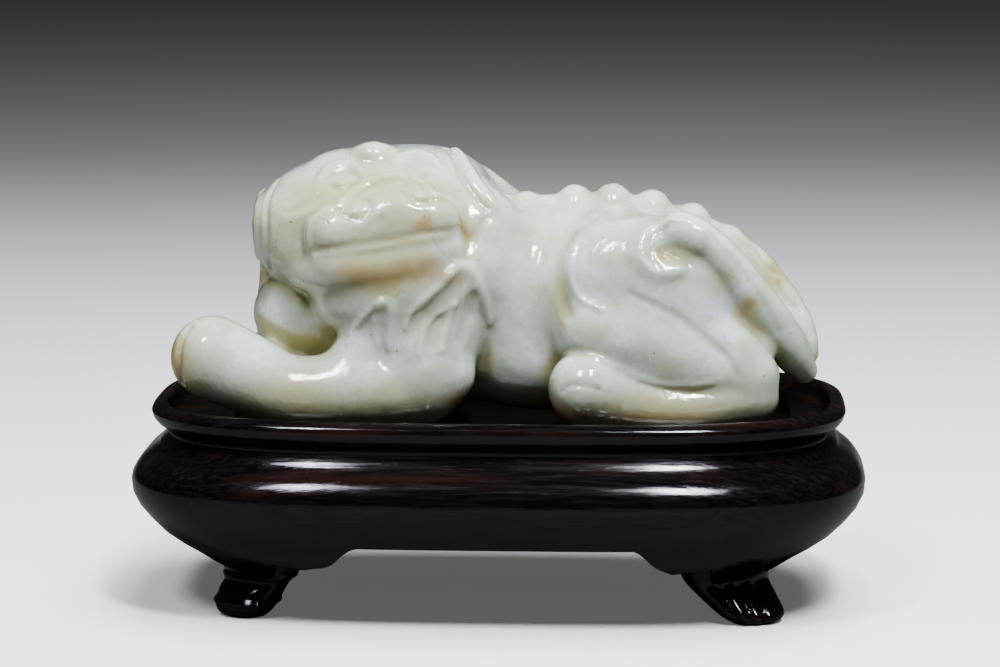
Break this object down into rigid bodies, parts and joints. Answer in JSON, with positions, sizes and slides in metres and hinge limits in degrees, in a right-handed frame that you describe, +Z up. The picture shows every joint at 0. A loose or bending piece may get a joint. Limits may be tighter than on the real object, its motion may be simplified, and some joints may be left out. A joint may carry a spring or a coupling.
{
  "type": "carved jade mythical beast on wooden stand",
  "caption": "Recumbent carved jade mythical beast with its head turned sideways, resting in the seat of a bulging carved hardwood stand with scroll feet.",
  "frame": {"origin": "middle of the stand's footprint at the floor", "axes": "+X along the beast towards its tail, -Y towards the side the face looks to, +Z up"},
  "size_m": [0.1236, 0.0744, 0.0781],
  "materials": {
    "jade": "polished pale celadon jade with ochre skin in patches",
    "wood": "polished brown-black hardwood"
  },
  "bodies": {
    "root": {"jade_beast": "jade", "wood_stand": "wood"}
  },
  "joints": []
}
